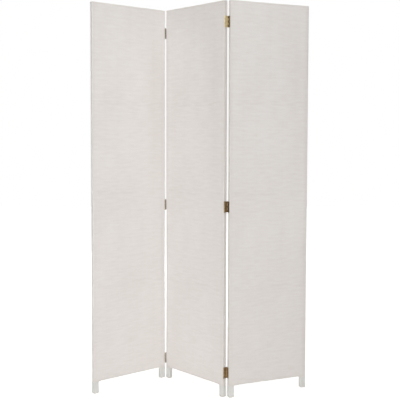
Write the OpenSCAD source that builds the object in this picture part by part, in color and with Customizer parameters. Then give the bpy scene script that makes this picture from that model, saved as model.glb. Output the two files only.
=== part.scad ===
// Folding screen of three panels, standing open in a zigzag.
// Each panel is a wooden frame on bare legs with a sleeve of paper cord woven round it.
// Brass double-action hinges join the panels, so each joint folds both ways.
// Millimetres, +Z up, the front towards -Y. The origin is on the floor,
// in the middle of the box that the open screen fills.

/* [Panels] */
// Width of a panel over its weave
panel_w = 400; // [320:10:500]
// Height of a panel from the floor to its top edge
panel_h = 1800; // [1550:10:2100]
// Height of the bare legs, from the floor to the weave
leg_h = 52; // [40:1:70]
// Angle between the left and middle panels, 180 when flat
left_fold = 96; // [70:0.1:175]
// Angle between the middle and right panels, 180 when flat
right_fold = 111.6; // [70:0.1:175]
// How far the middle panel is turned away from facing the front
middle_turn = 46; // [0:1:60]

/* [Frames] */
// Width of a stile, seen from the front
stile_w = 24; // [20:1:32]
// Thickness of the stiles and of the top and bottom rails
frame_t = 16; // [14:0.5:20]
// Height of a rail, seen from the front
rail_h = 24; // [18:1:36]
// How far the bottom rail sits above the lower edge of the weave
rail_lift = 3; // [0:0.5:6]
// Radius of the long edges of a stile, under the weave
stile_round = 1; // [0.5:0.1:2]
// Radius of the corners at the foot of a leg
foot_round = 6; // [2:0.5:9]
// Height of the middle of the lower cross rail
lower_rail_z = 495; // [300:5:600]
// Height of the middle of the middle cross rail
middle_rail_z = 935; // [800:5:1000]
// Height of the middle of the upper cross rail
upper_rail_z = 1345; // [1200:5:1400]
// Diameter of the dowels in the ends of the rails
dowel_d = 6; // [4:0.5:6]
// Length of a dowel, half of it in the rail
dowel_l = 24; // [16:1:28]

/* [Weave] */
// Thickness of the woven sleeve
weave_t = 1.5; // [1:0.1:3]
// Number of upright stakes behind each face of the sleeve
stake_count = 5; // [3:1:7]
// Diameter of a stake
stake_d = 3; // [2:0.1:3.5]
// Depth of the notch that holds the end of a stake
stake_socket = 12; // [6:0.5:16]
// How far the sleeve stands above the top of the frame
frame_drop = 1.5; // [0.5:0.1:3]

/* [Hinges] */
// Height of a hinge
hinge_h = 50; // [46:1:70]
// Distance from the top edge down to the middle of the left joint's top hinge
top_hinge_drop = 111; // [80:1:140]
// Height of the middle of the left joint's middle hinge
middle_hinge_z = 859; // [780:1:900]
// Height of the middle of the left joint's bottom hinge
bottom_hinge_z = 98; // [96:1:160]
// How much higher the right joint's hinges are than the left joint's
right_hinge_rise = 16; // [0:1:20]
// Outside diameter of a hinge barrel
barrel_d = 4.4; // [4.2:0.1:6]
// How far a pin's axis stands out from the woven face
pin_proud = 0.3; // [0.3:0.1:2]
// Diameter of a hinge pin
pin_d = 2; // [1.6:0.1:2.4]
// Number of knuckles in a barrel
knuckle_count = 5; // [3:2:7]
// Thickness of the leaf on each panel
leaf_t = 1; // [0.8:0.1:1]
// Width of that leaf, from the pin's axis to its free edge
leaf_w = 16; // [14:0.5:16.5]
// Radius of the leaf's free corners
leaf_round = 3; // [1:0.5:4]
// Thickness of the centre leaf, between the two barrels
centre_leaf_t = 1; // [0.8:0.1:1.4]

/* [Screws] */
// Number of screws in a leaf
screw_count = 3; // [2:1:3]
// Distance from one screw to the next
screw_pitch = 15; // [10:0.5:17]
// Diameter of a screw's shank
screw_d = 2.4; // [2:0.1:3]
// Diameter of a screw's countersunk head
screw_head_d = 4.4; // [4:0.1:5]
// Length of a screw, head included
screw_l = 12; // [9:0.5:13]

/* [Fits] */
// Gap beside a barrel, to the panel's edge and to the other leaf
barrel_gap = 0.3; // [0.3:0.05:0.6]
// Gap between one knuckle and the next
knuckle_gap = 0.3; // [0.2:0.05:0.5]
// Gap all round a pin in its knuckles
pin_gap = 0.05; // [0.02:0.01:0.1]
// Gap between a pin's head and the end of the barrel
pin_head_gap = 0.2; // [0.1:0.05:0.5]
// Gap all round a screw
screw_gap = 0.05; // [0.02:0.01:0.1]
// Gap all round a dowel
dowel_gap = 0.05; // [0.02:0.01:0.1]
// Gap past the end of a dowel
dowel_end_gap = 0.5; // [0.2:0.1:1]
// Gap between a stake and the sleeve, and between a stake and a rail
stake_gap = 0.05; // [0.02:0.01:0.1]

/* [Hidden] */

$fn = 48;
paint_colour = [0.90, 0.89, 0.87];
weave_colour = [0.86, 0.85, 0.83];
wood_colour = [0.80, 0.70, 0.55];
brass_colour = [0.78, 0.66, 0.40];
steel_colour = [0.70, 0.62, 0.42];
overcut = 1;

// Sections of the frame, in a panel's own place: its middle at x = 0 and y = 0
panel_t = frame_t + 2 * weave_t;
leg_w = stile_w + 2 * weave_t;
weave_round = stile_round + weave_t;
stile_x = panel_w / 2 - weave_t - stile_w / 2;
rail_end_x = stile_x - stile_w / 2;
cross_rail_t = frame_t - 2 * (stake_d + 2 * stake_gap);
frame_top_z = panel_h - frame_drop;
top_rail_z = frame_top_z - rail_h / 2;
bottom_rail_z = leg_h + rail_lift + rail_h / 2;
rail_heights = [bottom_rail_z, lower_rail_z, middle_rail_z, upper_rail_z, top_rail_z];
stake_pitch = panel_w / (stake_count + 1);
stake_y = frame_t / 2 - stake_gap - stake_d / 2;
stake_xs = [for (i = [0:stake_count - 1]) (i - (stake_count - 1) / 2) * stake_pitch];
stake_foot_z = bottom_rail_z + rail_h / 2 - stake_socket;
stake_top_z = frame_top_z - rail_h + stake_socket - dowel_end_gap;

// Sections of a hinge, in its own place: the middle of the gap between two panels
barrel_r = barrel_d / 2;
pin_r = pin_d / 2;
pin_head_h = 0.8;
pin_head_r = pin_r + pin_head_h;
panel_gap = barrel_d + 2 * barrel_gap;
joint_x = (panel_w + panel_gap) / 2;
pin_y = panel_t / 2 + pin_proud;
knuckle_l = (hinge_h - (knuckle_count - 1) * knuckle_gap) / knuckle_count;
left_hinges = [panel_h - top_hinge_drop, middle_hinge_z, bottom_hinge_z];
right_hinges = [for (z = left_hinges) z + right_hinge_rise];
screw_head_h = (screw_head_d - screw_d) / 2;
screw_tip_h = screw_d;
screw_tip_r = 0.3;
screw_slot_w = 0.6;
screw_slot_h = 0.5;

// Places of the panels, seen from above
left_turn = 180 - left_fold;
right_turn = 180 - right_fold;
panel_step = panel_w + panel_gap;
left_pin = [-joint_x, -pin_y];
right_pin = [joint_x, pin_y];

function turned(p, a) = [p[0] * cos(a) - p[1] * sin(a), p[0] * sin(a) + p[1] * cos(a)];
function turned_about(p, c, a) = c + turned(p - c, a);
function middle_spot(p) = turned(p, -middle_turn);
function left_spot(p) = middle_spot(turned_about(p - [panel_step, 0], left_pin, left_turn));
function right_spot(p) = middle_spot(turned_about(p + [panel_step, 0], right_pin, right_turn));

// The box that the open screen fills, from the round corners of its panels and from its barrels
corner_x = panel_w / 2 - weave_round;
corner_y = panel_t / 2 - weave_round;
corners = [for (x = [-corner_x, corner_x], y = [-corner_y, corner_y]) [x, y]];
corner_spots = [for (c = corners) each [left_spot(c), middle_spot(c), right_spot(c)]];
pin_spots = [for (x = [-joint_x, joint_x], y = [-pin_y, pin_y]) middle_spot([x, y])];
function low_reach(spots, i, r) = min([for (p = spots) p[i]]) - r;
function high_reach(spots, i, r) = max([for (p = spots) p[i]]) + r;
function lowest(i) = min(low_reach(corner_spots, i, weave_round), low_reach(pin_spots, i, barrel_r));
function highest(i) = max(high_reach(corner_spots, i, weave_round), high_reach(pin_spots, i, barrel_r));
box_middle = [(lowest(0) + highest(0)) / 2, (lowest(1) + highest(1)) / 2];

module on_middle() {
    translate([-box_middle[0], -box_middle[1], 0]) rotate(-middle_turn) children();
}

module on_left() {
    on_middle() translate([left_pin[0], left_pin[1], 0]) rotate(left_turn)
        translate([-left_pin[0] - panel_step, -left_pin[1], 0]) children();
}

module on_right() {
    on_middle() translate([right_pin[0], right_pin[1], 0]) rotate(right_turn)
        translate([-right_pin[0] + panel_step, -right_pin[1], 0]) children();
}

// A rectangle with round corners, its middle at the origin
module rounded_rect(w, h, r) {
    square([w - 2 * r, h], center = true);
    square([w, h - 2 * r], center = true);
    for (x = [-1, 1], y = [-1, 1])
        translate([x * (w / 2 - r), y * (h / 2 - r)]) circle(r);
}

// Front view of a leg, whose foot has round corners
module leg_outline() {
    translate([-leg_w / 2, foot_round]) square([leg_w, leg_h - foot_round]);
    translate([foot_round - leg_w / 2, 0]) square([leg_w - 2 * foot_round, leg_h]);
    for (side = [-1, 1])
        translate([side * (leg_w / 2 - foot_round), foot_round]) circle(foot_round);
}

// The places of all dowels: two at each end of each rail
module dowel_places() {
    for (side = [-1, 1], z = rail_heights, row = [-1, 1])
        translate([side * rail_end_x, 0, z + row * rail_h / 4]) rotate([0, 90, 0]) children();
}

module dowel_holes() {
    dowel_places() cylinder(h = dowel_l + 2 * dowel_end_gap, r = dowel_d / 2 + dowel_gap, center = true);
}

// One edge of a panel, 1 for its right edge and -1 for its left: the middle of the gap beside it
module edge(side) {
    translate([side * joint_x, 0, 0]) rotate(side > 0 ? 0 : 180) children();
}

// The places of the screws in the leaves along one edge, the heads at the face of the leaf
module screw_places(side, heights) {
    edge(side) for (z = heights, i = [0:screw_count - 1])
        translate([leaf_t - panel_gap / 2, 0, z + (i - (screw_count - 1) / 2) * screw_pitch])
            rotate([0, -90, 0]) children();
}

// Outline of a countersunk screw turned about its axis, larger all round by a gap for its hole
module screw_body(gap) {
    cylinder(h = screw_head_h, r1 = screw_head_d / 2 + gap, r2 = screw_d / 2 + gap);
    cylinder(h = screw_l - screw_tip_h, r = screw_d / 2 + gap);
    translate([0, 0, screw_l - screw_tip_h])
        cylinder(h = screw_tip_h, r1 = screw_d / 2 + gap, r2 = screw_tip_r + gap);
}

module screw_holes(side, heights) {
    screw_places(side, heights) screw_body(screw_gap);
}

module screws(side, heights) {
    color(steel_colour) screw_places(side, heights) difference() {
        screw_body(0);
        for (a = [0, 90])
            rotate(a) cube([screw_d, screw_slot_w, 2 * screw_slot_h], center = true);
    }
}

module middle_screws() {
    screws(-1, left_hinges);
    screws(1, right_hinges);
}

// The leg below a stile, flush with the sleeve that is woven round the stile
module leg() {
    intersection() {
        linear_extrude(leg_h) rounded_rect(leg_w, panel_t, weave_round);
        rotate([90, 0, 0]) linear_extrude(panel_t + 2 * overcut, center = true) leg_outline();
    }
}

// A stile in one piece with its leg, drilled for the screws of any hinges at these heights
module stile(side, heights = []) {
    color(paint_colour) difference() {
        translate([side * stile_x, 0, 0]) {
            leg();
            translate([0, 0, foot_round]) linear_extrude(frame_top_z - foot_round)
                rounded_rect(stile_w, frame_t, stile_round);
        }
        dowel_holes();
        screw_holes(side, heights);
    }
}

module rail_blank(z, t) {
    translate([-rail_end_x, -t / 2, z - rail_h / 2]) cube([2 * rail_end_x, t, rail_h]);
}

// Top or bottom rail, notched along its inner edge for the stakes; up is 1 for the bottom rail
module end_rail(z, up) {
    notch_w = stake_d + 2 * stake_gap;
    notch_h = stake_socket + overcut;
    notch_z = up > 0 ? z + rail_h / 2 - stake_socket : z - rail_h / 2 - overcut;
    color(paint_colour) difference() {
        rail_blank(z, frame_t);
        dowel_holes();
        for (x = stake_xs, face = [-1, 1])
            translate([x - notch_w / 2, face > 0 ? frame_t / 2 - notch_w : -frame_t / 2 - overcut, notch_z])
                cube([notch_w, notch_w + overcut, notch_h]);
    }
}

// Cross rail, thinner than the frame so that the stakes pass in front of it and behind it
module cross_rail(z) {
    color(wood_colour) difference() {
        rail_blank(z, cross_rail_t);
        dowel_holes();
    }
}

module rail_dowels() {
    color(wood_colour) dowel_places() cylinder(h = dowel_l, r = dowel_d / 2, center = true);
}

module stakes() {
    color(wood_colour) for (x = stake_xs, face = [-1, 1])
        translate([x, face * stake_y, stake_foot_z])
            cylinder(h = stake_top_z - stake_foot_z, r = stake_d / 2);
}

// The woven sleeve round the frame, pierced by the screws of the hinges on its edges
module weave(left_edge = [], right_edge = []) {
    color(weave_colour) difference() {
        translate([0, 0, leg_h]) linear_extrude(panel_h - leg_h) difference() {
            rounded_rect(panel_w, panel_t, weave_round);
            rounded_rect(panel_w - 2 * weave_t, frame_t, stile_round);
        }
        screw_holes(-1, left_edge);
        screw_holes(1, right_edge);
    }
}

function knuckle_z(k) = k * (knuckle_l + knuckle_gap) - hinge_h / 2;

module knuckle(k, face) {
    translate([0, face * pin_y, knuckle_z(k)]) cylinder(h = knuckle_l, r = barrel_r);
}

// Space round another leaf's knuckle
module knuckle_room(k, face) {
    translate([0, face * pin_y, knuckle_z(k) - knuckle_gap])
        cylinder(h = knuckle_l + 2 * knuckle_gap, r = barrel_r + barrel_gap);
}

module pin_bore(face) {
    translate([0, face * pin_y, 0]) cylinder(h = hinge_h + 2 * overcut, r = pin_r + pin_gap, center = true);
}

// Flat plate of a leaf, with its free corners rounded
module leaf_plate() {
    rotate([90, 0, 90]) translate([-pin_y, -hinge_h / 2]) linear_extrude(leaf_t) {
        square([leaf_w - leaf_round, hinge_h]);
        translate([0, leaf_round]) square([leaf_w, hinge_h - 2 * leaf_round]);
        for (z = [leaf_round, hinge_h - leaf_round])
            translate([leaf_w - leaf_round, z]) circle(leaf_round);
    }
}

// Leaf on a panel's right edge, with every other knuckle of the front barrel
// Turned half round it is the leaf on a left edge, with the back barrel
module panel_leaf(side, z) {
    color(brass_colour) difference() {
        edge(side) translate([0, 0, z]) difference() {
            union() {
                translate([-panel_gap / 2, 0, 0]) leaf_plate();
                for (k = [0:2:knuckle_count - 1]) knuckle(k, -1);
            }
            for (k = [1:2:knuckle_count - 1]) knuckle_room(k, -1);
            pin_bore(-1);
        }
        screw_holes(side, [z]);
    }
}

// Centre leaf, with the other knuckles of both barrels
module centre_leaf(side, z) {
    color(brass_colour) edge(side) translate([0, 0, z]) difference() {
        union() {
            translate([-centre_leaf_t / 2, -pin_y, -hinge_h / 2]) cube([centre_leaf_t, 2 * pin_y, hinge_h]);
            for (k = [1:2:knuckle_count - 1], face = [-1, 1]) knuckle(k, face);
        }
        for (k = [0:2:knuckle_count - 1], face = [-1, 1]) knuckle_room(k, face);
        for (face = [-1, 1]) pin_bore(face);
    }
}

// The pins of the three hinges of one joint, two to a hinge, headed at both ends
module hinge_pins(side, heights) {
    head_z = hinge_h / 2 + pin_head_gap;
    color(brass_colour) edge(side) for (z = heights, face = [-1, 1]) translate([0, face * pin_y, z]) {
        cylinder(h = 2 * head_z, r = pin_r, center = true);
        for (up = [0, 180])
            rotate([up, 0, 0]) translate([0, 0, head_z])
                cylinder(h = pin_head_h, r1 = pin_head_r, r2 = pin_r);
    }
}

on_left() stile(-1);  // left_panel_outer_stile
on_left() stile(1, left_hinges);  // left_panel_inner_stile
on_left() end_rail(top_rail_z, -1);  // left_panel_top_rail
on_left() end_rail(bottom_rail_z, 1);  // left_panel_bottom_rail
on_left() cross_rail(upper_rail_z);  // left_panel_upper_cross_rail
on_left() cross_rail(middle_rail_z);  // left_panel_middle_cross_rail
on_left() cross_rail(lower_rail_z);  // left_panel_lower_cross_rail
on_left() rail_dowels();  // left_panel_rail_dowels
on_left() stakes();  // left_panel_stakes
on_left() weave(right_edge = left_hinges);  // left_panel_weave
on_left() screws(1, left_hinges);  // left_panel_hinge_screws

on_middle() stile(-1, left_hinges);  // middle_panel_left_stile
on_middle() stile(1, right_hinges);  // middle_panel_right_stile
on_middle() end_rail(top_rail_z, -1);  // middle_panel_top_rail
on_middle() end_rail(bottom_rail_z, 1);  // middle_panel_bottom_rail
on_middle() cross_rail(upper_rail_z);  // middle_panel_upper_cross_rail
on_middle() cross_rail(middle_rail_z);  // middle_panel_middle_cross_rail
on_middle() cross_rail(lower_rail_z);  // middle_panel_lower_cross_rail
on_middle() rail_dowels();  // middle_panel_rail_dowels
on_middle() stakes();  // middle_panel_stakes
on_middle() weave(left_hinges, right_hinges);  // middle_panel_weave
on_middle() middle_screws();  // middle_panel_hinge_screws

on_right() stile(-1, right_hinges);  // right_panel_inner_stile
on_right() stile(1);  // right_panel_outer_stile
on_right() end_rail(top_rail_z, -1);  // right_panel_top_rail
on_right() end_rail(bottom_rail_z, 1);  // right_panel_bottom_rail
on_right() cross_rail(upper_rail_z);  // right_panel_upper_cross_rail
on_right() cross_rail(middle_rail_z);  // right_panel_middle_cross_rail
on_right() cross_rail(lower_rail_z);  // right_panel_lower_cross_rail
on_right() rail_dowels();  // right_panel_rail_dowels
on_right() stakes();  // right_panel_stakes
on_right() weave(left_edge = right_hinges);  // right_panel_weave
on_right() screws(-1, right_hinges);  // right_panel_hinge_screws

on_left() panel_leaf(1, left_hinges[0]);  // left_hinge_top_front_leaf
on_middle() centre_leaf(-1, left_hinges[0]);  // left_hinge_top_centre_leaf
on_middle() panel_leaf(-1, left_hinges[0]);  // left_hinge_top_back_leaf
on_left() panel_leaf(1, left_hinges[1]);  // left_hinge_middle_front_leaf
on_middle() centre_leaf(-1, left_hinges[1]);  // left_hinge_middle_centre_leaf
on_middle() panel_leaf(-1, left_hinges[1]);  // left_hinge_middle_back_leaf
on_left() panel_leaf(1, left_hinges[2]);  // left_hinge_bottom_front_leaf
on_middle() centre_leaf(-1, left_hinges[2]);  // left_hinge_bottom_centre_leaf
on_middle() panel_leaf(-1, left_hinges[2]);  // left_hinge_bottom_back_leaf
on_middle() hinge_pins(-1, left_hinges);  // left_hinge_pins

on_middle() panel_leaf(1, right_hinges[0]);  // right_hinge_top_front_leaf
on_middle() centre_leaf(1, right_hinges[0]);  // right_hinge_top_centre_leaf
on_right() panel_leaf(-1, right_hinges[0]);  // right_hinge_top_back_leaf
on_middle() panel_leaf(1, right_hinges[1]);  // right_hinge_middle_front_leaf
on_middle() centre_leaf(1, right_hinges[1]);  // right_hinge_middle_centre_leaf
on_right() panel_leaf(-1, right_hinges[1]);  // right_hinge_middle_back_leaf
on_middle() panel_leaf(1, right_hinges[2]);  // right_hinge_bottom_front_leaf
on_middle() centre_leaf(1, right_hinges[2]);  // right_hinge_bottom_centre_leaf
on_right() panel_leaf(-1, right_hinges[2]);  // right_hinge_bottom_back_leaf
on_middle() hinge_pins(1, right_hinges);  // right_hinge_pins
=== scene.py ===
# %% [markdown]
# # A folding screen woven in paper cord
#
# The real screen is three wooden frames on short bare legs. A sleeve of painted paper cord is woven
# round each frame, and brass double-action hinges join the frames, so the screen folds both ways.
#
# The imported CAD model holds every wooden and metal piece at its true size, so those pieces stay and only
# get finishes here. The woven sleeves are plain tubes there. This lesson weaves them cord by cord.

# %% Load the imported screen
import math

import bpy
import numpy as np
from mathutils import Matrix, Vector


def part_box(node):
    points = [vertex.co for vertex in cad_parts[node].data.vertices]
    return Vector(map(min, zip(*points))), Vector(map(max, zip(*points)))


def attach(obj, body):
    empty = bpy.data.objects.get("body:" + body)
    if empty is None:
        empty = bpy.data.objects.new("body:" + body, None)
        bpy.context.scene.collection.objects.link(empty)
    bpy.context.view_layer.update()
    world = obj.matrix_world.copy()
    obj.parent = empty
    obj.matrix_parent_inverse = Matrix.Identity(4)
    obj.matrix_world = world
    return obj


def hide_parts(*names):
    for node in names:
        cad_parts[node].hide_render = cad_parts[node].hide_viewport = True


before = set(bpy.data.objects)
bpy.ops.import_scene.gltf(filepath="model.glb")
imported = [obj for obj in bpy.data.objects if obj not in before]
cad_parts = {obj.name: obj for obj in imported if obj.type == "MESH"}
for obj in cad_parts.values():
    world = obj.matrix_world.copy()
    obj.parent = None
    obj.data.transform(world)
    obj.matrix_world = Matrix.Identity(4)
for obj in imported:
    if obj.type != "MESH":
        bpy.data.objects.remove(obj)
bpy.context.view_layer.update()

MM = 0.001

# %% [markdown]
# ## Where each panel stands
#
# The panels stand in a zigzag, so each is turned. It is easier to weave a panel as if it stood square at
# the origin, and then to set the finished piece in its place. Each panel has two upright stiles, and the
# line between their middles gives both the turn and the place. They are read from the CAD boxes, so
# nothing has to be measured twice.

# %% Read each panel's place from its two stiles
STILES = {
    "left_panel": ("left_panel_outer_stile", "left_panel_inner_stile"),
    "middle_panel": ("middle_panel_left_stile", "middle_panel_right_stile"),
    "right_panel": ("right_panel_inner_stile", "right_panel_outer_stile"),
}


def middle_of(node):
    """The middle of a CAD piece's box."""
    low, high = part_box(node)
    return (low + high) / 2


def panel_turn_and_place(panel):
    """A panel's turn about the upright, and the matrix that moves a piece from the origin to the panel."""
    left, right = (middle_of(stile) for stile in STILES[panel])
    turn = math.atan2(right.y - left.y, right.x - left.x)
    spot = (left + right) / 2
    return turn, Matrix.Translation((spot.x, spot.y, 0)) @ Matrix.Rotation(turn, 4, "Z")


TURN, PLACE = {}, {}
for panel in STILES:
    TURN[panel], PLACE[panel] = panel_turn_and_place(panel)
    print(panel, "is turned by", round(math.degrees(TURN[panel]), 2), "degrees")

# %% [markdown]
# ## The camera
#
# The photograph was taken from 3.5 m in front at chest height. The upright edges stay almost upright in
# it although the screen sits below the camera, which is what a lens shift does. Tilting a camera down
# centres the subject too, but it makes uprights lean. Here a little of each is used, a tilt of 3 degrees
# and a small shift. The numbers come from fitting the panels' corners to the photograph.

# %% Set up the camera
camera_data = bpy.data.cameras.new("studio_camera")
camera_data.lens = 66.945
camera_data.sensor_width = 36.0
camera_data.shift_x = -0.0256
camera_data.shift_y = -0.06
camera_data.dof.use_dof = False
camera = bpy.data.objects.new("studio_camera", camera_data)
camera.location = (0.0398, -3.4935, 1.1932)
camera.rotation_euler = [math.radians(angle) for angle in (86.952, -0.188, -0.075)]
bpy.context.scene.collection.objects.link(camera)
bpy.context.scene.camera = camera
print("Camera at", [round(value, 3) for value in camera.location])

# %% [markdown]
# ## The studio
#
# The screen stands in a white studio whose floor and walls are so bright that they leave no shadow. One
# large soft box stands low beside the camera and lights every panel about alike. A bigger one hangs
# overhead, and a weak one on the right tells the turned panels apart. Two more light the back, which the
# photograph doesn't show. The floor is a pale sheet that glows, as an overexposed studio floor does. What
# the camera sees of that glow and what the screen gets of it are two numbers, because in the photograph
# the floor is pure white and yet hardly lights the feet. The outermost edge faces away from all of
# this, so it gets a weak lamp of its own from the far left.

# %% A helper that adds a shader node and wires its inputs
def put(tree, kind, inputs=None, **settings):
    """Adds one node. An input that is another node's socket is linked, and anything else is a value."""
    made = tree.nodes.new("ShaderNode" + kind)
    for name, value in settings.items():
        setattr(made, name, value)
    for socket, value in (inputs or {}).items():
        if isinstance(value, bpy.types.NodeSocket):
            tree.links.new(value, made.inputs[socket])
        else:
            made.inputs[socket].default_value = value
    return made


# %% White surround
SURROUND_LIGHT = 0.2
SURROUND_TINT = (0.97, 1, 0.975, 1)
surround = bpy.data.worlds.new("white_studio")
bpy.context.scene.world = surround
surround.use_nodes = True
sky = surround.node_tree
sky.nodes.clear()
seen = put(sky, "Background", {"Color": (1, 1, 1, 1), "Strength": 1.0})
lighting = put(sky, "Background", {"Color": SURROUND_TINT, "Strength": SURROUND_LIGHT})
to_camera = put(sky, "LightPath").outputs["Is Camera Ray"]
choice = put(sky, "MixShader", {0: to_camera, 1: lighting.outputs[0], 2: seen.outputs[0]})
put(sky, "OutputWorld", {"Surface": choice.outputs[0]})
bpy.context.scene.view_settings.view_transform = "Standard"
print("Surround lights with", SURROUND_LIGHT)

# %% Soft boxes
def soft_box(name, spot, aim, size, watts):
    """A rectangular lamp at one point that faces another. It lights the screen but stays out of view."""
    data = bpy.data.lights.new(name, "AREA")
    data.shape = "RECTANGLE"
    data.size, data.size_y = size
    data.energy = watts
    lamp = bpy.data.objects.new(name, data)
    way = np.array(aim) - np.array(spot)
    way = way / np.linalg.norm(way)
    lamp.location = spot
    lamp.rotation_euler = (math.acos(-way[2]), 0, math.atan2(way[1], way[0]) - math.pi / 2)
    lamp.visible_camera = False
    bpy.context.scene.collection.objects.link(lamp)
    print(name, "gives", watts, "W")


SCREEN_MIDDLE = (0, 0, 0.9)
LOWER_HALF = (0, 0, 0.4)
soft_box("front_soft_box", (-0.9, -4.2, 0.5), LOWER_HALF, (2.4, 0.8), 74)
soft_box("right_soft_box", (2.4, -2.6, 1.8), SCREEN_MIDDLE, (1.4, 2.0), 8.6)
soft_box("overhead_soft_box", (0, -0.6, 4.4), SCREEN_MIDDLE, (2.4, 2.4), 90)
soft_box("left_edge_soft_box", (-3.0, 0.3, 1.0), SCREEN_MIDDLE, (0.8, 1.8), 6)
soft_box("back_left_soft_box", (-1.8, 3.6, 1.6), SCREEN_MIDDLE, (1.6, 2.2), 30)
soft_box("back_right_soft_box", (1.8, 3.6, 1.6), SCREEN_MIDDLE, (1.6, 2.2), 30)

# %% Pale floor
FLOOR_HALF = 9.0
FLOOR_GREYS = (0.86, 0.9)
GLOW_SEEN = 0.55
GLOW_FULL = 1.0
# The seen glow grows from GLOW_SEEN to GLOW_FULL between these distances from the middle, in metres
GLOW_GROWS = (1.0, 3.5)
GLOW_GIVEN = 0.22
GLOW_TINT = (1, 0.88, 0.8, 1)
floor_mesh = bpy.data.meshes.new("studio_floor")
floor_corners = [(x * FLOOR_HALF, y * FLOOR_HALF, 0) for x, y in ((-1, -1), (1, -1), (1, 1), (-1, 1))]
floor_mesh.from_pydata(floor_corners, [], [(0, 1, 2, 3)])
floor = bpy.data.objects.new("studio_floor", floor_mesh)
bpy.context.scene.collection.objects.link(floor)
floor_paint = bpy.data.materials.new("pale_floor_paint")
floor_paint.use_nodes = True
paint = floor_paint.node_tree
clouds = put(paint, "TexNoise", {"Scale": 0.7, "Detail": 3.0})
tone = put(paint, "MapRange", {0: clouds.outputs[0], 3: FLOOR_GREYS[0], 4: FLOOR_GREYS[1]})
grey = put(paint, "CombineColor", {channel: tone.outputs[0] for channel in range(3)})
away = put(paint, "VectorMath", {0: put(paint, "TexCoord").outputs["Object"]}, operation="LENGTH")
near, far = GLOW_GROWS
look = put(paint, "MapRange", {0: away.outputs["Value"], 1: near, 2: far, 3: GLOW_SEEN, 4: GLOW_FULL})
to_camera = put(paint, "LightPath").outputs["Is Camera Ray"]
glow = put(paint, "Mix", {0: to_camera, 2: GLOW_GIVEN, 3: look.outputs[0]})
tint = put(paint, "Mix", {0: to_camera, 6: GLOW_TINT, 7: (1, 1, 1, 1)}, data_type="RGBA")
shader = paint.nodes["Principled BSDF"]
paint.links.new(grey.outputs[0], shader.inputs["Base Color"])
paint.links.new(glow.outputs[0], shader.inputs["Emission Strength"])
paint.links.new(tint.outputs[2], shader.inputs["Emission Color"])
shader.inputs["Roughness"].default_value = 0.9
shader.inputs["Specular IOR Level"].default_value = 0.1
floor_mesh.materials.append(floor_paint)
print("Floor is", 2 * FLOOR_HALF, "m wide")

# %% [markdown]
# ## Small helpers for finishes
#
# Every finish below is made from a few moves: a pattern placed on the piece, a number worked out from
# it, a blend of two colours, and a bump. Each move gets a short name, so that a finish reads like a
# recipe. All patterns come from noise and waves, never from a picture.

# %% Moves that every finish uses
def new_finish(name):
    """A material to fill in, with its nodes and its shader."""
    material = bpy.data.materials.new(name)
    material.use_nodes = True
    return material, material.node_tree, material.node_tree.nodes["Principled BSDF"]


def sum_up(tree, operation, first, second=0.0, third=0.0):
    """One step of arithmetic."""
    made = put(tree, "Math", {0: first, 1: second, 2: third}, operation=operation)
    return made.outputs[0]


def stretched(tree, place, sizes):
    """Each coordinate times its own number, so that a pattern can be drawn out along one of them."""
    return put(tree, "VectorMath", {0: place, 1: sizes}, operation="MULTIPLY").outputs[0]


def on_piece(tree, sizes):
    """The place on the piece itself, so that a pattern moves with it."""
    return stretched(tree, put(tree, "TexCoord").outputs["Object"], sizes)


def mottle(tree, where, scale=1.0, detail=3.0, roughness=0.5):
    """Soft irregular patches, a number from 0 to 1."""
    inputs = {"Vector": where, "Scale": scale, "Detail": detail, "Roughness": roughness}
    return put(tree, "TexNoise", inputs).outputs[0]


def spread(tree, value, low, high, to_low=0.0, to_high=1.0):
    """Turns the range from low to high into another range, and stops at its ends."""
    made = put(tree, "MapRange", {0: value, 1: low, 2: high, 3: to_low, 4: to_high}, clamp=True)
    return made.outputs[0]


def two_tone(tree, share, first, second, blend="MIX"):
    """The first colour where share is 0, and the second, or their product, where it is 1."""
    return put(tree, "Mix", {0: share, 6: first, 7: second}, data_type="RGBA", blend_type=blend).outputs[2]


def raise_by(tree, height, depth, below=None):
    """A bump of a given depth in metres, on top of the one below."""
    inputs = {"Height": height, "Distance": depth, "Strength": 1.0}
    if below is not None:
        inputs["Normal"] = below
    return put(tree, "Bump", inputs).outputs[0]


def give(tree, shader, **sockets):
    """Links what a recipe made to the shader, or sets a plain number on the shader's own socket."""
    for name, value in sockets.items():
        socket = shader.inputs[name.replace("_", " ")]
        if isinstance(value, bpy.types.NodeSocket):
            tree.links.new(value, socket)
        else:
            socket.default_value = value


# %% [markdown]
# ## How the sleeve is woven
#
# The weaver winds one paper cord round and round the frame. It passes over one stake and under the
# next, and the row above does the opposite. So a sleeve is a stack of closed rings. Each ring follows the
# frame's outline, and its height above the wood says how proud the cord stands there.
#
# That gives a simple way to make the mesh. One table of columns goes round the frame, one list of rings
# goes up it, and the points join into a closed skin with an inner wall.

# %% Sizes of a frame, in metres
FRAME_HALF_WIDTH = 198.5 * MM
FRAME_HALF_DEPTH = 8 * MM
FRAME_CORNER = 1 * MM
LEG_INNER_X = 174.5 * MM
STAKE_PITCH = 400 * MM / 6
STAKE_SPOTS = STAKE_PITCH * np.arange(-2, 3)
CROSS_RAIL_HEIGHTS = np.array([495, 935, 1345]) * MM
RAIL_HALF_HEIGHT = 12 * MM
LEG_DIP = 4 * MM
LEG_TOP, SLEEVE_HIGH = (corner.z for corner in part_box("middle_panel_weave"))
SLEEVE_LOW = LEG_TOP + LEG_DIP
FRAME_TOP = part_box("middle_panel_top_rail")[1].z
print("Sleeve from", round(SLEEVE_LOW, 4), "to", round(SLEEVE_HIGH, 4), "m")
print("The wood ends at", round(FRAME_TOP, 4), "m")

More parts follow.
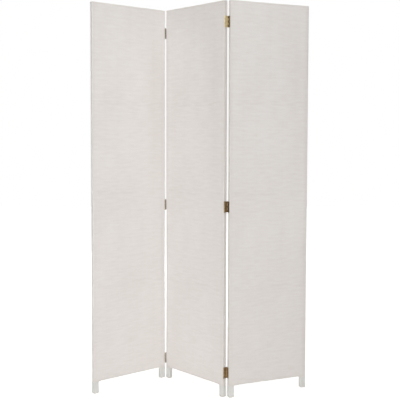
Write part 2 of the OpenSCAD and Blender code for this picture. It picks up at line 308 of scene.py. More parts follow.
# %% Columns that go round the frame
def columns_round(face_steps, edge_steps, corner_angles):
    """One row per column: its place along the width, along the depth, and the way it faces."""
    rows = []
    for quarter, (x, y) in enumerate([(0, -1), (1, 0), (0, 1), (-1, 0)]):
        facing = 90 * quarter - 90
        steps = list(face_steps if y else edge_steps)
        ordered = steps if (x - y) > 0 else steps[::-1]
        rows += [(step if y else x, y if y else step, facing) for step in ordered]
        end_x, end_y = rows[-1][:2]
        rows += [(end_x, end_y, facing + angle) for angle in corner_angles]
    return np.array(rows, float)


BY_A_STAKE = np.array([-9, -5, -2, 0, 2, 5, 9]) * MM
BETWEEN_STAKES = STAKE_PITCH * np.array([0.33, 0.5, 0.67])


def face_steps_for_weave():
    """Closely spaced by each stake, where the cord bends over or under it, and wider between stakes."""
    steps = [-1.0, 1.0, -LEG_INNER_X / FRAME_HALF_WIDTH, LEG_INNER_X / FRAME_HALF_WIDTH]
    for stake in STAKE_SPOTS:
        steps += list((stake + BY_A_STAKE) / FRAME_HALF_WIDTH)
    for gap in STAKE_PITCH * np.arange(-3, 3):
        steps += list((gap + BETWEEN_STAKES) / FRAME_HALF_WIDTH)
    return sorted(step for step in steps if abs(step) <= 1)


EDGE_STEPS_FOR_WEAVE = (-1, -0.35, 0.35, 1)
CORNER_ANGLES_FOR_WEAVE = (30, 60)
weave_columns = columns_round(face_steps_for_weave(), EDGE_STEPS_FOR_WEAVE, CORNER_ANGLES_FOR_WEAVE)
print("A woven ring has", len(weave_columns), "points")

# %% Rings of points round the frame
TIGHTEST_CORNER = 0.3 * MM
SLEEVE_THICKNESS = 1.5 * MM


def ring(columns, offset, height):
    """Points round the frame at a distance outside the wood, and the ways they face."""
    corner = max(FRAME_CORNER + offset, TIGHTEST_CORNER)
    reach_x = FRAME_HALF_WIDTH + offset - corner
    reach_y = FRAME_HALF_DEPTH + offset - corner
    facing = np.radians(columns[:, 2])
    out = np.stack([np.cos(facing), np.sin(facing), 0 * facing], 1)
    middle = np.stack([columns[:, 0] * reach_x, columns[:, 1] * reach_y, 0 * facing + height], 1)
    return middle + corner * out, out


def length_round(columns):
    """How far round the sleeve each column is, with the whole way round at the end."""
    points, _ = ring(columns, SLEEVE_THICKNESS, 0)
    steps = np.linalg.norm(np.roll(points, -1, 0) - points, axis=1)
    return np.concatenate([[0], np.cumsum(steps)])


WAY_ROUND = length_round(weave_columns)[-1]
print("The way round a sleeve is", round(WAY_ROUND / MM), "mm")

# %% [markdown]
# ## From rings to a mesh
#
# Rings stacked up the outside and back down the inside close on themselves both ways, like a very flat
# inner tube, so the skin has no open edge. The same function serves the sleeves and their borders. Two UV
# maps go with it: one measures along the cord and counts the rows, for the cord's twist, and the other
# lays the sleeve out flat for baking. Only the outside is shaded smooth. The ends and the inner wall stay
# flat, or the cord beside a join would be shaded as if it turned inwards, and a dark line would show.

# %% Close a stack of rings into a piece
def skin(name, rings, outside, rows, columns, attributes=None):
    """The first rings, as many as outside says, are the skin that shows, and the others are the wall."""
    count, wide = rings.shape[:2]
    ring_a = np.arange(count)[:, None]
    ring_b = (ring_a + 1) % count
    column_a = np.arange(wide)[None, :]
    column_b = (column_a + 1) % wide
    corners = [(ring_a, column_a), (ring_a, column_b), (ring_b, column_b), (ring_b, column_a)]
    faces = np.stack([a * wide + b for a, b in corners], 2).reshape(-1, 4)
    mesh = bpy.data.meshes.new(name)
    mesh.from_pydata(rings.reshape(-1, 3), [], faces)
    around = length_round(columns)
    row_low, row_high = rows, np.append(rows[1:], rows[-1] + 1)
    along = np.stack([around[:-1], around[1:], around[1:], around[:-1]], 1)[None].repeat(count, 0)
    across = np.stack([row_low, row_low, row_high, row_high], 1)[:, None].repeat(wide, 1)
    flat = (across - rows[0]) / (row_high[-1] - rows[0])
    for map_name, u, v in (("cord", along, across), ("OFBake", along / around[-1], flat)):
        layer = mesh.uv_layers.new(name=map_name)
        layer.uv.foreach_set("vector", np.stack([u, v], 3).astype(np.float32).ravel())
    for attribute, values in (attributes or {}).items():
        kept = mesh.attributes.new(attribute, "FLOAT", "POINT")
        kept.data.foreach_set("value", values.astype(np.float32).ravel())
    mesh.polygons.foreach_set("use_smooth", np.repeat(np.arange(count) < outside - 1, wide))
    piece = bpy.data.objects.new(name, mesh)
    bpy.context.scene.collection.objects.link(piece)
    return piece


# %% [markdown]
# ## The cord's path over and under the stakes
#
# The cords lie 2.6 mm apart, though no two are quite the same thickness. At a stake every other cord
# stands out and the others dip. Between stakes the weave is a little hollow, because nothing holds it
# out there. Slow waves make the rows wander, and short thick places, which a spinner calls slubs, stand
# out here and there. All of it stays inside the 1.5 mm that the sleeve has in the CAD model.

# %% Thickness of every cord up the sleeve
CORD_PITCH = 2.6 * MM
CORD_UNEVENNESS = 0.1
BOTTOM_BORDER = 7.4 * MM
TOP_BORDER = 9.5 * MM


def cord_heights(chance):
    """Where each row of cord begins, from the bottom border up, and where the last one ends."""
    low, high = SLEEVE_LOW + BOTTOM_BORDER, SLEEVE_HIGH - TOP_BORDER
    count = round((high - low) / CORD_PITCH)
    thick = 1 + CORD_UNEVENNESS * chance.standard_normal(count).clip(-2, 2)
    return low + (high - low) * np.concatenate([[0], np.cumsum(thick) / thick.sum()])


print("A sleeve has", len(cord_heights(np.random.default_rng(1))) - 1, "rows of cord")

# %% Shape of the weave
# Each pair: how far up its row a ring lies, and how much of the cord's height it has there
CORD_PROFILE = ((0.0, 0.0), (0.27, 0.93), (0.73, 0.93))
CORD_VALLEY = 0.5 * MM
CORD_CREST = 1.22 * MM
OVER_STAKE = 0.26 * MM
UNDER_STAKE = -0.5 * MM
BEND_REACH = 3.4 * MM
SLUB_RISE = 0.16 * MM
SLUB_SHARE = 0.4
SLUB_LENGTHS = (6 * MM, 22 * MM)
ROW_UNEVENNESS = 0.05 * MM
HOLLOW_DEPTH = 0.2 * MM
HELD_NEAR_ENDS = 50 * MM
LEAST_RELIEF = 0.12 * MM
# Slow waves: how many go round, from the first number to below the second, and their heights in metres
WAVES_ROUND = (1, 9)
WAVE_HEIGHTS = (0.15, 0.8)
WAVE_TURN = 6.28


def hollow_between_stakes(x):
    """From 0 at a stake to 1 halfway to the next."""
    supports = np.concatenate([[-LEG_INNER_X], STAKE_SPOTS, [LEG_INNER_X]])
    span = np.clip(np.searchsorted(supports, x) - 1, 0, len(supports) - 2)
    share = (x - supports[span]) / (supports[span + 1] - supports[span])
    return np.sin(np.pi * share.clip(0, 1)) ** 2


def slow_waves(chance, around, height, size, count=7):
    """A sum of waves that close on themselves round the sleeve."""
    total = 0
    for _ in range(count):
        turns, tall = chance.integers(*WAVES_ROUND), chance.uniform(*WAVE_HEIGHTS)
        start, rise = chance.uniform(0, 2 * np.pi, 2)
        along = np.sin(2 * np.pi * turns * around / WAY_ROUND + start)
        total = total + along * np.sin(height / tall * WAVE_TURN + rise)
    return size * total / math.sqrt(count)


def slubs(chance, rows, around):
    """Short thick places in some of the cords."""
    total = np.zeros((len(rows), len(around)))
    for row in range(int(rows.max()) + 1):
        if chance.random() < SLUB_SHARE:
            spot, long = chance.uniform(0, WAY_ROUND), chance.uniform(*SLUB_LENGTHS)
            total[rows == row] += np.exp(-(((around - spot) / long) ** 2))
    return total


def weave_relief(chance, rows, share, heights, columns):
    """How far each point stands off the wood, ring by ring."""
    around = length_round(columns)[:-1]
    # Round the narrow edges there is no stake, so x stays at the side of the frame
    on_face = np.abs(np.abs(columns[:, 2] % 180) - 90) < 1
    x = np.where(on_face, columns[:, 0] * FRAME_HALF_WIDTH, FRAME_HALF_WIDTH)
    nearest = np.round(x / STAKE_PITCH)
    by_stake = np.exp(-(((x - nearest * STAKE_PITCH) / BEND_REACH) ** 2)) * (np.abs(nearest) <= 2)
    over = np.where((rows[:, None] + nearest[None]) % 2 == 0, OVER_STAKE, UNDER_STAKE)
    crest = CORD_CREST + over * by_stake + SLUB_RISE * slubs(chance, rows, around)
    crest = crest + ROW_UNEVENNESS * chance.standard_normal((int(rows.max()) + 1, 1))[rows]
    held_low = np.exp(-np.abs(heights - SLEEVE_LOW) / HELD_NEAR_ENDS)
    held_high = np.exp(-np.abs(SLEEVE_HIGH - heights) / HELD_NEAR_ENDS)
    free = (1 - held_low - held_high).clip(0, 1)
    hollow = HOLLOW_DEPTH * hollow_between_stakes(x)[None] * free[:, None]
    relief = CORD_VALLEY + (crest - CORD_VALLEY) * share[:, None] - hollow
    return relief.clip(LEAST_RELIEF, SLEEVE_THICKNESS)


# %% [markdown]
# ## The lower edge by the legs
#
# In the photograph the woven edge isn't quite straight. For the last 20 mm before each leg it curves
# down by about 4 mm, onto the shoulder of the leg. Every ring near the bottom is bent the same way, and
# the bend fades out further up.

# %% Bend the rings down at the legs
DIP_START_X = 154 * MM
DIP_END_X = LEG_INNER_X + 4 * MM
DIP_FADE = 18 * MM


def dip_at_legs(points):
    """How far each point is drawn down: a smooth step towards the legs that fades out with height."""
    share = ((np.abs(points[..., 0]) - DIP_START_X) / (DIP_END_X - DIP_START_X)).clip(0, 1)
    curve = share * share * (3 - 2 * share)
    return LEG_DIP * curve * np.exp(-(points[..., 2] - SLEEVE_LOW) / DIP_FADE)


# %% [markdown]
# ## Weave the sleeves
#
# A whole sleeve is about half a million triangles, so it is made in three lengths that meet in the
# valley between two cords. Smooth shading evens out every valley but this one, because it can't look
# across to the next piece. So the points on a join are told which way to face: straight out, as if the
# sleeve went on. Light that comes through the weave is stopped by the stakes and the cross rails behind
# it. They show as faint darker bands, so each point also keeps how much wood is right behind it.

# %% Wood behind each point of a sleeve
BAND_SOFTNESS = 4 * MM
RAIL_BAND_EXTRA = 3 * MM
STAKE_SHARE = 0.6


def wood_behind(points):
    """From 0, nothing but air, to 1, a cross rail. A round stake counts for less."""
    x, z = points[..., 0], points[..., 2]
    stake = np.exp(-((np.abs(x[..., None] - STAKE_SPOTS).min(-1) / BAND_SOFTNESS) ** 2))
    from_rail = np.abs(z[..., None] - CROSS_RAIL_HEIGHTS).min(-1)
    rail = ((RAIL_HALF_HEIGHT + RAIL_BAND_EXTRA - from_rail) / BAND_SOFTNESS).clip(0, 1)
    inside = np.abs(x) < LEG_INNER_X
    return np.maximum(STAKE_SHARE * stake, rail) * inside


# %% [markdown]
# ## Painted shade at edges and in patches
#
# The cord is darkened with painted shade in several places. The narrow edges that meet at a hinge, where
# the panels shade each other, are the darkest. On the faces, the last centimetre or two beside the ridge
# and beside the outer edges is darker. Broader soft patches are darker too: beside the ridge and the
# valley, along the top and bottom of the left and middle panels, and low on the right one. Each point
# keeps a share from 0, unshaded, to 1, as dark as at a hinge, and the paint's recipe does the rest.

# %% Share of painted shade at each point
# The edges that meet at a hinge get the darkest painted shade
JOINT_EDGES = {"left_panel": (1,), "middle_panel": (-1, 1), "right_panel": (-1,)}
SHADED_NEAR_EDGES = {"left_panel": {-1: 0.5}, "middle_panel": {1: 0.45}, "right_panel": {-1: 0.65, 1: 0.45}}
EDGE_SHADE_REACH = 13 * MM
# Painted shade added all over the twisted borders
BORDER_SHADE = 0.42
# Each patch: how much, then its middle and its reach across and up, in millimetres
SHADE_PATCHES = {
    "left_panel": [(0.22, 150, 1500, 50, 500), (0.2, 0, 52, 400, 40), (0.15, 0, 1800, 300, 50)],
    "middle_panel": [(0.32, 170, 900, 90, 1200), (0.3, 60, 1800, 300, 120), (0.3, 0, 52, 400, 40)],
    "right_panel": [(0.42, 60, 150, 600, 560), (0.2, -150, 800, 50, 300)],
}


def painted_shade_share(points, panel):
    """The share of painted shade: at the hinge edges, near the ridge and the outer edges, and in broad
    patches.
    """
    x, z = points[..., 0], points[..., 2]
    # The painted shade of a hinge edge comes in over the last millimetre of the face
    on_edge = np.max([side * x - FRAME_HALF_WIDTH for side in JOINT_EDGES[panel]], axis=0) / MM + 1
    share = np.zeros(x.shape)
    for side, amount in SHADED_NEAR_EDGES[panel].items():
        inward = FRAME_HALF_WIDTH - side * x
        share += amount * np.exp(-inward.clip(0) / EDGE_SHADE_REACH) * (inward > 0)
    for amount, middle_x, middle_z, wide, tall in SHADE_PATCHES[panel]:
        across, up = (x - middle_x * MM) / (wide * MM), (z - middle_z * MM) / (tall * MM)
        share += amount * np.exp(-across ** 2 - up ** 2)
    return np.maximum(share, on_edge).clip(0, 1)


# %% One length of sleeve
LENGTHS = ("lower", "middle", "upper")
INNER_WALL = 0.03 * MM
WANDER = 0.3 * MM
WANDER_FADE = 40 * MM
WANDER_SEED = 5


def weave_length(panel, length, rows, heights, columns, chance):
    """Makes the rows of cord between the first and the last height, with a wall behind them."""
    row_of_ring = np.repeat(np.arange(len(rows)), len(CORD_PROFILE))
    share_up, proud = np.array(CORD_PROFILE).T
    tall = np.diff(heights)
    levels = heights[:-1, None] + tall[:, None] * share_up[None]
    levels = np.append(levels.ravel(), heights[-1])
    row_numbers = np.append(rows[row_of_ring], rows[-1])
    cord_share = np.append(np.tile(proud, len(rows)), 0.0)
    relief = weave_relief(chance, row_numbers, cord_share, levels, columns)
    around = length_round(columns)[:-1]
    wander = slow_waves(np.random.default_rng(WANDER_SEED), around[None], levels[:, None], WANDER)
    from_borders = np.minimum(levels - SLEEVE_LOW - BOTTOM_BORDER, SLEEVE_HIGH - TOP_BORDER - levels)
    wander = wander * (from_borders / WANDER_FADE).clip(0, 1)[:, None]
    outer = []
    for level, lift, drift in zip(levels, relief, wander):
        points, out = ring(columns, 0.0, level)
        points = points + lift[:, None] * out
        points[:, 2] += drift
        outer.append(points)
    inner = []
    for step in (-1, 0):
        points, _ = ring(columns, INNER_WALL, 0)
        points[:, 2] = outer[step][:, 2]
        inner.append(points)
    rings = np.array(outer + inner)
    # Each point keeps the wood behind it and its share of painted shade
    shade_marks = {"wood_behind": wood_behind(rings), "painted_shade": painted_shade_share(rings, panel)}
    rings[..., 2] -= dip_at_legs(rings)
    counts = np.append(rows[0] + row_of_ring + np.tile(share_up, len(rows)), rows[-1] + 1)
    # In the UV maps the wall's two rings come after the last row
    counts = np.append(counts, [rows[-1] + 2, rows[-1] + 8])
    piece = skin(f"{panel}_woven_{length}", rings, len(outer), counts.astype(float), columns, shade_marks)
    straight_out = np.zeros(rings.shape)
    if length != LENGTHS[0]:
        straight_out[0] = out
    if length != LENGTHS[-1]:
        straight_out[len(outer) - 1] = out
    piece.data.normals_split_custom_set_from_vertices(straight_out.reshape(-1, 3))
    return piece


# %% All three sleeves
FIRST_SEED = 40
sleeves = {}
for number, panel in enumerate(STILES):
    chance = np.random.default_rng(FIRST_SEED + number)
    heights = cord_heights(chance)
    cuts = [0, len(heights) // 3, 2 * len(heights) // 3, len(heights) - 1]
    sleeves[panel] = []
    for length, first, last in zip(LENGTHS, cuts, cuts[1:]):
        rows = np.arange(first, last)
        piece = weave_length(panel, length, rows, heights[first:last + 1], weave_columns, chance)
        sleeves[panel].append(piece)
        print(piece.name, len(piece.data.polygons), "faces")

# %% [markdown]
# ## Twisted borders
#
# The weave is finished off at both ends with heavier cords, each two strands twisted together. Two run
# round the bottom. At the top there are three, and the last is laid over the edge of the frame, so the
# wood shows only inside it. Neighbouring cords twist opposite ways, which looks like a plait. The twist
# needs a point every couple of millimetres, so the borders have columns of their own.

# %% Columns and twist of a border cord
FACE_POINTS, EDGE_POINTS = 230, 10
border_columns = columns_round(
    np.linspace(-1, 1, FACE_POINTS), np.linspace(-1, 1, EDGE_POINTS), (18, 36, 54, 72)
)
BORDER_STEPS = np.array([0.0, 0.12, 0.32, 0.5, 0.68, 0.88])
TWIST_LENGTH = 8.5 * MM
TWISTS_ROUND = round(WAY_ROUND / TWIST_LENGTH)
# In millimetres: between two cords, on top of one, and how far its strands rise and fall
BORDER_VALLEY = 0.3
BORDER_BELLY = 0.98
STRAND_RISE = 0.2
# In turns of the twist, from one side of a cord to the other
STRAND_SLANT = 0.9


def twisted_cord(share, hand, around):
    """Relief of a two-strand cord: round across, with strands that slant along it."""
    belly = np.sqrt(1 - (2 * share - 1) ** 2)
    slant = np.cos(2 * np.pi * (TWISTS_ROUND * around / WAY_ROUND + hand * STRAND_SLANT * share))
    return BORDER_VALLEY * MM + belly * (BORDER_BELLY + STRAND_RISE * slant) * MM


# %% Make a border from the path that its cords follow
def border(panel, end_of_sleeve, path, hands, columns):
    """path gives the places between the cords, each as distance outside the wood, height and tilt."""
    around = length_round(columns)[:-1]
    rings, counts = [], []
    for cord, (start, end, hand) in enumerate(zip(path, path[1:], hands)):
        last = cord == len(hands) - 1
        for share in np.append(BORDER_STEPS, 1.0) if last else BORDER_STEPS:
            offset, height, tilt = np.array(start) * (1 - share) + np.array(end) * share
            points, out = ring(columns, offset, height)
            lift = twisted_cord(share, hand, around)[:, None]
            lean = math.radians(tilt)
            rings.append(points + lift * (math.cos(lean) * out + math.sin(lean) * np.array([0, 0, 1])))
            counts.append(cord + share)
    outside = len(rings)
    for offset, height, _ in path[::-1]:
        rings.append(ring(columns, offset, height)[0])
        counts.append(counts[-1] + 1)
    rings = np.array(rings)
    rings[..., 2] -= dip_at_legs(rings)
    # The borders get extra painted shade all over, which darkens the top and bottom of the weave
    painted_shade = (BORDER_SHADE + painted_shade_share(rings, panel)).clip(0, 1)
    shade_marks = {"wood_behind": np.zeros(rings.shape[:2]), "painted_shade": painted_shade}
    return skin(f"{panel}_{end_of_sleeve}_border", rings, outside, np.array(counts), columns, shade_marks)


# %% Borders of the three panels
TOP_CORD = 3.7 * MM
LAID_OVER_FRAME = 3.2 * MM
top_edge = SLEEVE_HIGH - TOP_BORDER
BOTTOM_PATH = [(INNER_WALL, SLEEVE_LOW + BOTTOM_BORDER * share, 0) for share in (0, 0.5, 1)]
TOP_PATH = [
    (INNER_WALL, top_edge, 0),
    (INNER_WALL, top_edge + TOP_CORD, 0),
    (INNER_WALL, top_edge + 2 * TOP_CORD, 0),
    (-LAID_OVER_FRAME, FRAME_TOP + INNER_WALL, 90),
]
borders = {}
for panel in STILES:
    borders[panel] = [
        border(panel, "bottom", BOTTOM_PATH, (1, -1), border_columns),
        border(panel, "top", TOP_PATH, (1, -1, 1), border_columns),
    ]
print("Border faces:", [len(piece.data.polygons) for piece in borders["left_panel"]])

# %% [markdown]
# ## Painted paper cord
#
# Paper cord is a narrow strip of kraft paper twisted tight, and here it is painted off-white after
# weaving. Close up it shows a slanting twist and a fine fibre, and painted shade darkens the valleys
# between cords and the grooves of the twist. From further off it shows streaks a few centimetres long,
# some in one cord and some in three or four together, where the brush went. More painted shade darkens
# the hinge edges, the borders and some broad patches.

# %% Paper cord finish
CREAM = (0.80, 0.763, 0.742, 1)
PALE = (0.85, 0.823, 0.806, 1)
VALLEY_SHADE = (0.61, 0.575, 0.55, 1)
BACKED_SHADE = (0.982, 0.98, 0.978, 1)
# Tint of the painted shade at the edges, borders and patches
PAINTED_SHADE_TINT = (0.88, 0.87, 0.85, 1)
TWISTS_PER_METRE = 270.0
TWIST_SHIFT_PER_ROW = 0.37
TWIST_DEPTH = 0.18 * MM
FIBRE_SCALE = 1400.0
FIBRE_DEPTH = 0.06 * MM
# Patches per metre along the cord, and per row of cord
ONE_CORD_STREAKS = (24.0, 5.3, 1)
BRUSH_STROKES = (17.0, 0.24, 1)
# Patches per metre across, in depth and up
SOFT_CLOUDS = (5, 5, 3)
VALLEY_STRENGTH = 0.5
GROOVE_STRENGTH = 0.22


def painted_cord():
    """The cord map gives metres along the cord, and rows of cord plus how far up the row a point is."""
    material, tree, shader = new_finish("painted_paper_cord")
    along, row, _ = put(tree, "SeparateXYZ", {0: put(tree, "UVMap", uv_map="cord").outputs[0]}).outputs
    row_number = sum_up(tree, "FLOOR", row)
    across = sum_up(tree, "FRACT", row)
    slant = sum_up(tree, "ADD", sum_up(tree, "MULTIPLY", along, TWISTS_PER_METRE), across)
    row_shift = sum_up(tree, "MULTIPLY", row_number, TWIST_SHIFT_PER_ROW)
    strand = sum_up(tree, "PINGPONG", sum_up(tree, "ADD", slant, row_shift), 0.5)
    place = put(tree, "CombineXYZ", {0: along, 1: row_number}).outputs[0]
    streak = mottle(tree, stretched(tree, place, ONE_CORD_STREAKS), 1.0, 2.0)
    stroke = mottle(tree, stretched(tree, place, BRUSH_STROKES), 1.0, 2.0)
    cloud = mottle(tree, on_piece(tree, SOFT_CLOUDS), 1.0, 3.0)
    fibre = mottle(tree, on_piece(tree, (1, 1, 1)), FIBRE_SCALE, 2.0)
    tone = sum_up(tree, "MULTIPLY_ADD", streak, 0.4, sum_up(tree, "ADD", stroke, cloud))
    colour = two_tone(tree, spread(tree, tone, 0.92, 1.48), CREAM, PALE)
    # Painted shade in the valleys between cords and in the grooves of the twist
    from_crest = sum_up(tree, "ABSOLUTE", sum_up(tree, "SUBTRACT", across, 0.5))
    valley = spread(tree, from_crest, 0.33, 0.5, 0.0, VALLEY_STRENGTH)
    groove = spread(tree, strand, 0.0, 0.16, GROOVE_STRENGTH, 0.0)
    shade = sum_up(tree, "MAXIMUM", valley, groove)
    colour = two_tone(tree, shade, colour, VALLEY_SHADE)
    behind = put(tree, "Attribute", attribute_name="wood_behind").outputs["Fac"]
    behind = sum_up(tree, "MULTIPLY", behind, spread(tree, stroke, 0.35, 0.65, 1.0, 0.1))
    colour = two_tone(tree, behind, colour, BACKED_SHADE, "MULTIPLY")
    # Painted shade at the hinge edges, near the edges and in broad patches, broken up by soft clouds
    shade_marks = put(tree, "Attribute", attribute_name="painted_shade").outputs["Fac"]
    shade_marks = sum_up(tree, "MULTIPLY", shade_marks, spread(tree, cloud, 0.3, 0.7, 0.75, 1.0))
    colour = two_tone(tree, shade_marks, colour, PAINTED_SHADE_TINT, "MULTIPLY")
    twist = raise_by(tree, spread(tree, strand, 0.0, 0.5), TWIST_DEPTH)
    rough = spread(tree, fibre, 0.3, 0.7, 0.62, 0.8)
    bump = raise_by(tree, fibre, FIBRE_DEPTH, twist)
    give(tree, shader, Base_Color=colour, Roughness=rough, Normal=bump, Specular_IOR_Level=0.35)
    return material


cord_finish = painted_cord()
for panel in STILES:
    for piece in sleeves[panel] + borders[panel]:
        piece.data.materials.append(cord_finish)
        piece.matrix_world = PLACE[panel]
print("Cord finish is on", sum(len(pieces) for pieces in sleeves.values()), "lengths of sleeve")

# %% [markdown]
# ## Painted frame
#
# The stiles and the top and bottom rails are painted with the same off-white, brushed along the grain.
# The grain still shows through as fine ridges. The feet are rubbed where they stand on the floor, and
# the paint is a little thin along the corners there.

# %% Painted wood finish
FRAME_PAINT = (0.70, 0.70, 0.68, 1)
FRAME_PAINT_SHADE = (0.64, 0.64, 0.62, 1)
RAW_WOOD = (0.50, 0.37, 0.23, 1)
PAINT_DRAWN_OUT = 0.035
GRAIN_SCALE, GRAIN_DEPTH = 420.0, 0.2 * MM
BRUSH_SCALE, BRUSH_DEPTH = 1300.0, 0.08 * MM
CLOUD_SCALE = 26.0
CHIP_SCALE = 240.0
CHIPPED = (0.70, 0.74)
RUBBED_HEIGHT = 14 * MM
RUBBED_MORE = 0.16


def painted_wood(name, turn, upright):
    """Paint brushed along the piece: up a stile, or along a rail that is turned with its panel."""
    material, tree, shader = new_finish(name)
    place = put(tree, "TexCoord").outputs["Object"]
    square = put(tree, "VectorRotate", {"Vector": place, "Angle": -turn}, rotation_type="Z_AXIS").outputs[0]
    drawn = stretched(tree, square, (1, 1, PAINT_DRAWN_OUT) if upright else (PAINT_DRAWN_OUT, 1, 1))
    grain = mottle(tree, drawn, GRAIN_SCALE, 4.0)
    brush = mottle(tree, drawn, BRUSH_SCALE, 2.0)
    cloud = mottle(tree, square, CLOUD_SCALE, 3.0)
    tone = sum_up(tree, "ADD", sum_up(tree, "MULTIPLY", grain, 0.5), sum_up(tree, "MULTIPLY", cloud, 0.5))
    colour = two_tone(tree, spread(tree, tone, 0.35, 0.65), FRAME_PAINT_SHADE, FRAME_PAINT)
    height = put(tree, "SeparateXYZ", {0: place}).outputs[2]
    low = spread(tree, height, 0.0, RUBBED_HEIGHT, RUBBED_MORE, 0.0)
    chips = sum_up(tree, "ADD", mottle(tree, square, CHIP_SCALE, 4.0), low)
    colour = two_tone(tree, spread(tree, chips, *CHIPPED), colour, RAW_WOOD)
    rough = spread(tree, cloud, 0.3, 0.7, 0.42, 0.6)
    bump = raise_by(tree, brush, BRUSH_DEPTH, raise_by(tree, grain, GRAIN_DEPTH))
    give(tree, shader, Base_Color=colour, Roughness=rough, Normal=bump, Specular_IOR_Level=0.45)
    return material


def dress(node, material):
    """Gives a carried-over CAD node its finish."""
    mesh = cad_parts[node].data
    mesh.materials.clear()
    mesh.materials.append(material)


for panel, stiles in STILES.items():
    stile_paint = painted_wood(f"{panel}_stile_paint", TURN[panel], True)
    rail_paint = painted_wood(f"{panel}_rail_paint", TURN[panel], False)
    for stile in stiles:
        dress(stile, stile_paint)
    for rail in ("top_rail", "bottom_rail"):
        dress(f"{panel}_{rail}", rail_paint)
print("Painted", 2 * len(STILES), "stiles and", 2 * len(STILES), "rails")

# %% [markdown]
# ## Bare wood inside
#
# The cross rails, dowels and stakes are hidden by the weave and were never painted. The rails are sawn
# softwood with broad growth rings, and the stakes and dowels are turned from a pale, close-grained wood.

# %% Bare wood finish
PINE = {"light": (0.66, 0.50, 0.31, 1), "dark": (0.48, 0.31, 0.16, 1), "ring_size": 5 * MM}
BEECH = {"light": (0.68, 0.55, 0.38, 1), "dark": (0.55, 0.40, 0.25, 1), "ring_size": 2 * MM}
WOOD_DRAWN_OUT = 0.06
RING_WARP_SCALE = 60.0
PORE_SCALE, PORE_DEPTH = 1500.0, 0.1 * MM


def bare_wood(name, turn, lies, light, dark, ring_size):
    """Growth rings with pores drawn out along the piece, which lies across its panel or stands in it."""
    material, tree, shader = new_finish(name)
    place = put(tree, "TexCoord").outputs["Object"]
    square = put(tree, "VectorRotate", {"Vector": place, "Angle": -turn}, rotation_type="Z_AXIS").outputs[0]
    drawn = stretched(tree, square, (WOOD_DRAWN_OUT, 1, 1) if lies else (1, 1, WOOD_DRAWN_OUT))
    warp = mottle(tree, drawn, RING_WARP_SCALE, 3.0)
    depth = put(tree, "SeparateXYZ", {0: drawn}).outputs[1]
    years = sum_up(tree, "MULTIPLY_ADD", depth, 1 / ring_size, warp)
    growth_rings = sum_up(tree, "PINGPONG", years, 0.5)
    pores = mottle(tree, drawn, PORE_SCALE, 2.0)
    share = sum_up(tree, "MULTIPLY_ADD", pores, 0.35, growth_rings)
    colour = two_tone(tree, spread(tree, share, 0.1, 0.75), light, dark)
    rough = spread(tree, pores, 0.3, 0.7, 0.6, 0.78)
    bump = raise_by(tree, pores, PORE_DEPTH)
    give(tree, shader, Base_Color=colour, Roughness=rough, Normal=bump)
    return material


for panel in STILES:
    rail_wood = bare_wood(f"{panel}_sawn_pine", TURN[panel], True, **PINE)
    stake_wood = bare_wood(f"{panel}_turned_beech", TURN[panel], False, **BEECH)
    for rail in ("upper", "middle", "lower"):
        dress(f"{panel}_{rail}_cross_rail", rail_wood)
    dress(f"{panel}_rail_dowels", stake_wood)
    dress(f"{panel}_stakes", stake_wood)
print("Bare wood is on", 5 * len(STILES), "nodes")

# %% [markdown]
# ## Brass hinges
#
# The hinges are brass-plated steel, and most of the brass has dulled. At the top of the ridge the front
# plate is pale brass, a painted highlight, and the centre plate is a little less pale. The upper two back
# plates on the right panel are a dark brown that paints shade, and the plates in the valley are greyed
# as painted shade. A metal has no colour of its own but tints what it reflects, so tarnish is a darker
# tint and a rougher surface. The two highlight plates are only partly metallic, so that their colour
# shows as a painted reflection of the bright studio. Fine scratches run up each leaf from the polishing.

# %% Brass finishes
BRIGHT_BRASS = (0.96, 0.83, 0.50, 1)
LIGHT_TARNISH = (0.80, 0.65, 0.36, 1)
# A little less pale brass for the top ridge hinge's centre plate, a weaker painted highlight
HALF_HIGHLIGHT_BRASS = (0.87, 0.745, 0.43, 1)
HALF_HIGHLIGHT_TARNISH = (0.60, 0.485, 0.27, 1)
DULL_BRASS = (0.55, 0.43, 0.27, 1)
BROWN_TARNISH = (0.30, 0.215, 0.135, 1)
# Darker brass, painted shade, for the back plates of the upper two hinges on the ridge
SHADED_BACK_BRASS = (0.36, 0.275, 0.16, 1)
SHADED_BACK_TARNISH = (0.19, 0.135, 0.085, 1)
# Greyed brass, painted shade, for the plates in the valley
SHADED_VALLEY_BRASS = (0.63, 0.565, 0.46, 1)
SHADED_VALLEY_TARNISH = (0.44, 0.385, 0.31, 1)
DEEP_SHADED_BACK_BRASS = (0.23, 0.175, 0.10, 1)
DEEP_SHADED_BACK_TARNISH = (0.13, 0.095, 0.06, 1)
SCREW_BRASS = (0.62, 0.50, 0.28, 1)
SCRATCH_DIRECTION = (1, 1, 0.05)
SCRATCH_SCALE, SCRATCH_DEPTH = 2600.0, 0.03 * MM
PIT_SCALE, PIT_DEPTH = 900.0, 0.05 * MM
TARNISH_SCALE = 130.0
# The highlight plates are only partly metallic, so their colour shows as a painted reflection of the bright
# studio
HIGHLIGHT_FINISH = {"roughness": (0.4, 0.55), "metal": 0.3}
LATHE_FINISH = {"roughness": (0.25, 0.5)}


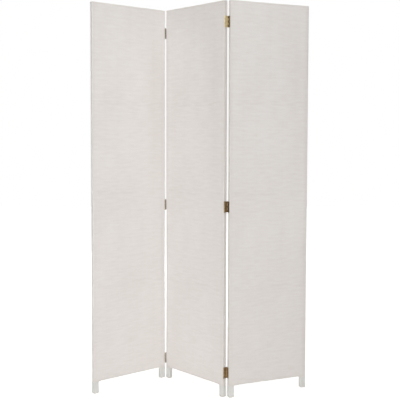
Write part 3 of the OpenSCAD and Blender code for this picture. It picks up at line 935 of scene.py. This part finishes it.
def brass(name, clean, tarnish, worn=(0.45, 0.8), roughness=(0.34, 0.55), metal=1.0):
    """Metal is clean where the pattern is under worn's first number, and tarnished above its second."""
    material, tree, shader = new_finish(name)
    patches = mottle(tree, on_piece(tree, (1, 1, 1)), TARNISH_SCALE, 4.0, 0.6)
    scratches = mottle(tree, on_piece(tree, SCRATCH_DIRECTION), SCRATCH_SCALE, 2.0)
    pits = mottle(tree, on_piece(tree, (1, 1, 1)), PIT_SCALE, 3.0)
    share = sum_up(tree, "MULTIPLY_ADD", scratches, 0.25, patches)
    colour = two_tone(tree, spread(tree, share, *worn), clean, tarnish)
    sheen = spread(tree, share, 0.4, 0.9, *roughness)
    bump = raise_by(tree, pits, PIT_DEPTH, raise_by(tree, scratches, SCRATCH_DEPTH))
    give(tree, shader, Base_Color=colour, Roughness=sheen, Normal=bump, Metallic=metal)
    return material


# Painted highlights: the top ridge hinge's front plate in pale brass, its centre plate a little less pale
highlight_plate = brass("painted_highlight_brass", BRIGHT_BRASS, LIGHT_TARNISH, worn=(0.55, 0.95), **HIGHLIGHT_FINISH)
half_highlight_plate = brass("painted_half_highlight_brass", HALF_HIGHLIGHT_BRASS, HALF_HIGHLIGHT_TARNISH, worn=(0.45, 0.85), **HIGHLIGHT_FINISH)
dull_plate = brass("dulled_brass", DULL_BRASS, BROWN_TARNISH)
# Painted shade for back plates on the ridge
shaded_back_plate = brass("shaded_back_brass", SHADED_BACK_BRASS, SHADED_BACK_TARNISH)
deep_shaded_back_plate = brass("deep_shaded_back_brass", DEEP_SHADED_BACK_BRASS, DEEP_SHADED_BACK_TARNISH)
# Painted shade for the plates in the valley
shaded_valley_plate = brass("shaded_valley_brass", SHADED_VALLEY_BRASS, SHADED_VALLEY_TARNISH)
deeper_shaded_valley_plate = brass("deeper_shaded_valley_brass", SHADED_VALLEY_TARNISH, BROWN_TARNISH, roughness=(0.4, 0.6))
pin_metal = brass("pin_brass", BRIGHT_BRASS, BROWN_TARNISH, worn=(0.4, 0.8), **LATHE_FINISH)
screw_metal = brass("screw_brass", SCREW_BRASS, BROWN_TARNISH, worn=(0.45, 0.85), **LATHE_FINISH)

# In the valley the plates are greyed as painted shade, and the middle hinge's darker still
for leaf in ("front", "centre", "back"):
    for level in ("top", "bottom"):
        dress(f"left_hinge_{level}_{leaf}_leaf", shaded_valley_plate)
    dress(f"left_hinge_middle_{leaf}_leaf", deeper_shaded_valley_plate)
    for level in ("top", "middle", "bottom"):
        dress(f"right_hinge_{level}_{leaf}_leaf", dull_plate)
for side in ("left", "right"):
    dress(f"{side}_hinge_pins", pin_metal)
# Painted highlight on the front and centre plates of the top hinge on the ridge
dress("right_hinge_top_front_leaf", highlight_plate)
dress("right_hinge_top_centre_leaf", half_highlight_plate)
# Painted shade on the back plates of the upper two hinges on the ridge
dress("right_hinge_top_back_leaf", shaded_back_plate)
dress("right_hinge_middle_back_leaf", deep_shaded_back_plate)
for panel in STILES:
    dress(f"{panel}_hinge_screws", screw_metal)
print("Hinges are plated")

# %% [markdown]
# ## Tie every piece to its panel
#
# The sleeves and borders move with their panel and stand for the plain tubes of the CAD model, which
# are hidden.

# %% Ride and replace
for panel in STILES:
    for piece in sleeves[panel] + borders[panel]:
        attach(piece, panel)
        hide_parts(f"{panel}_weave")
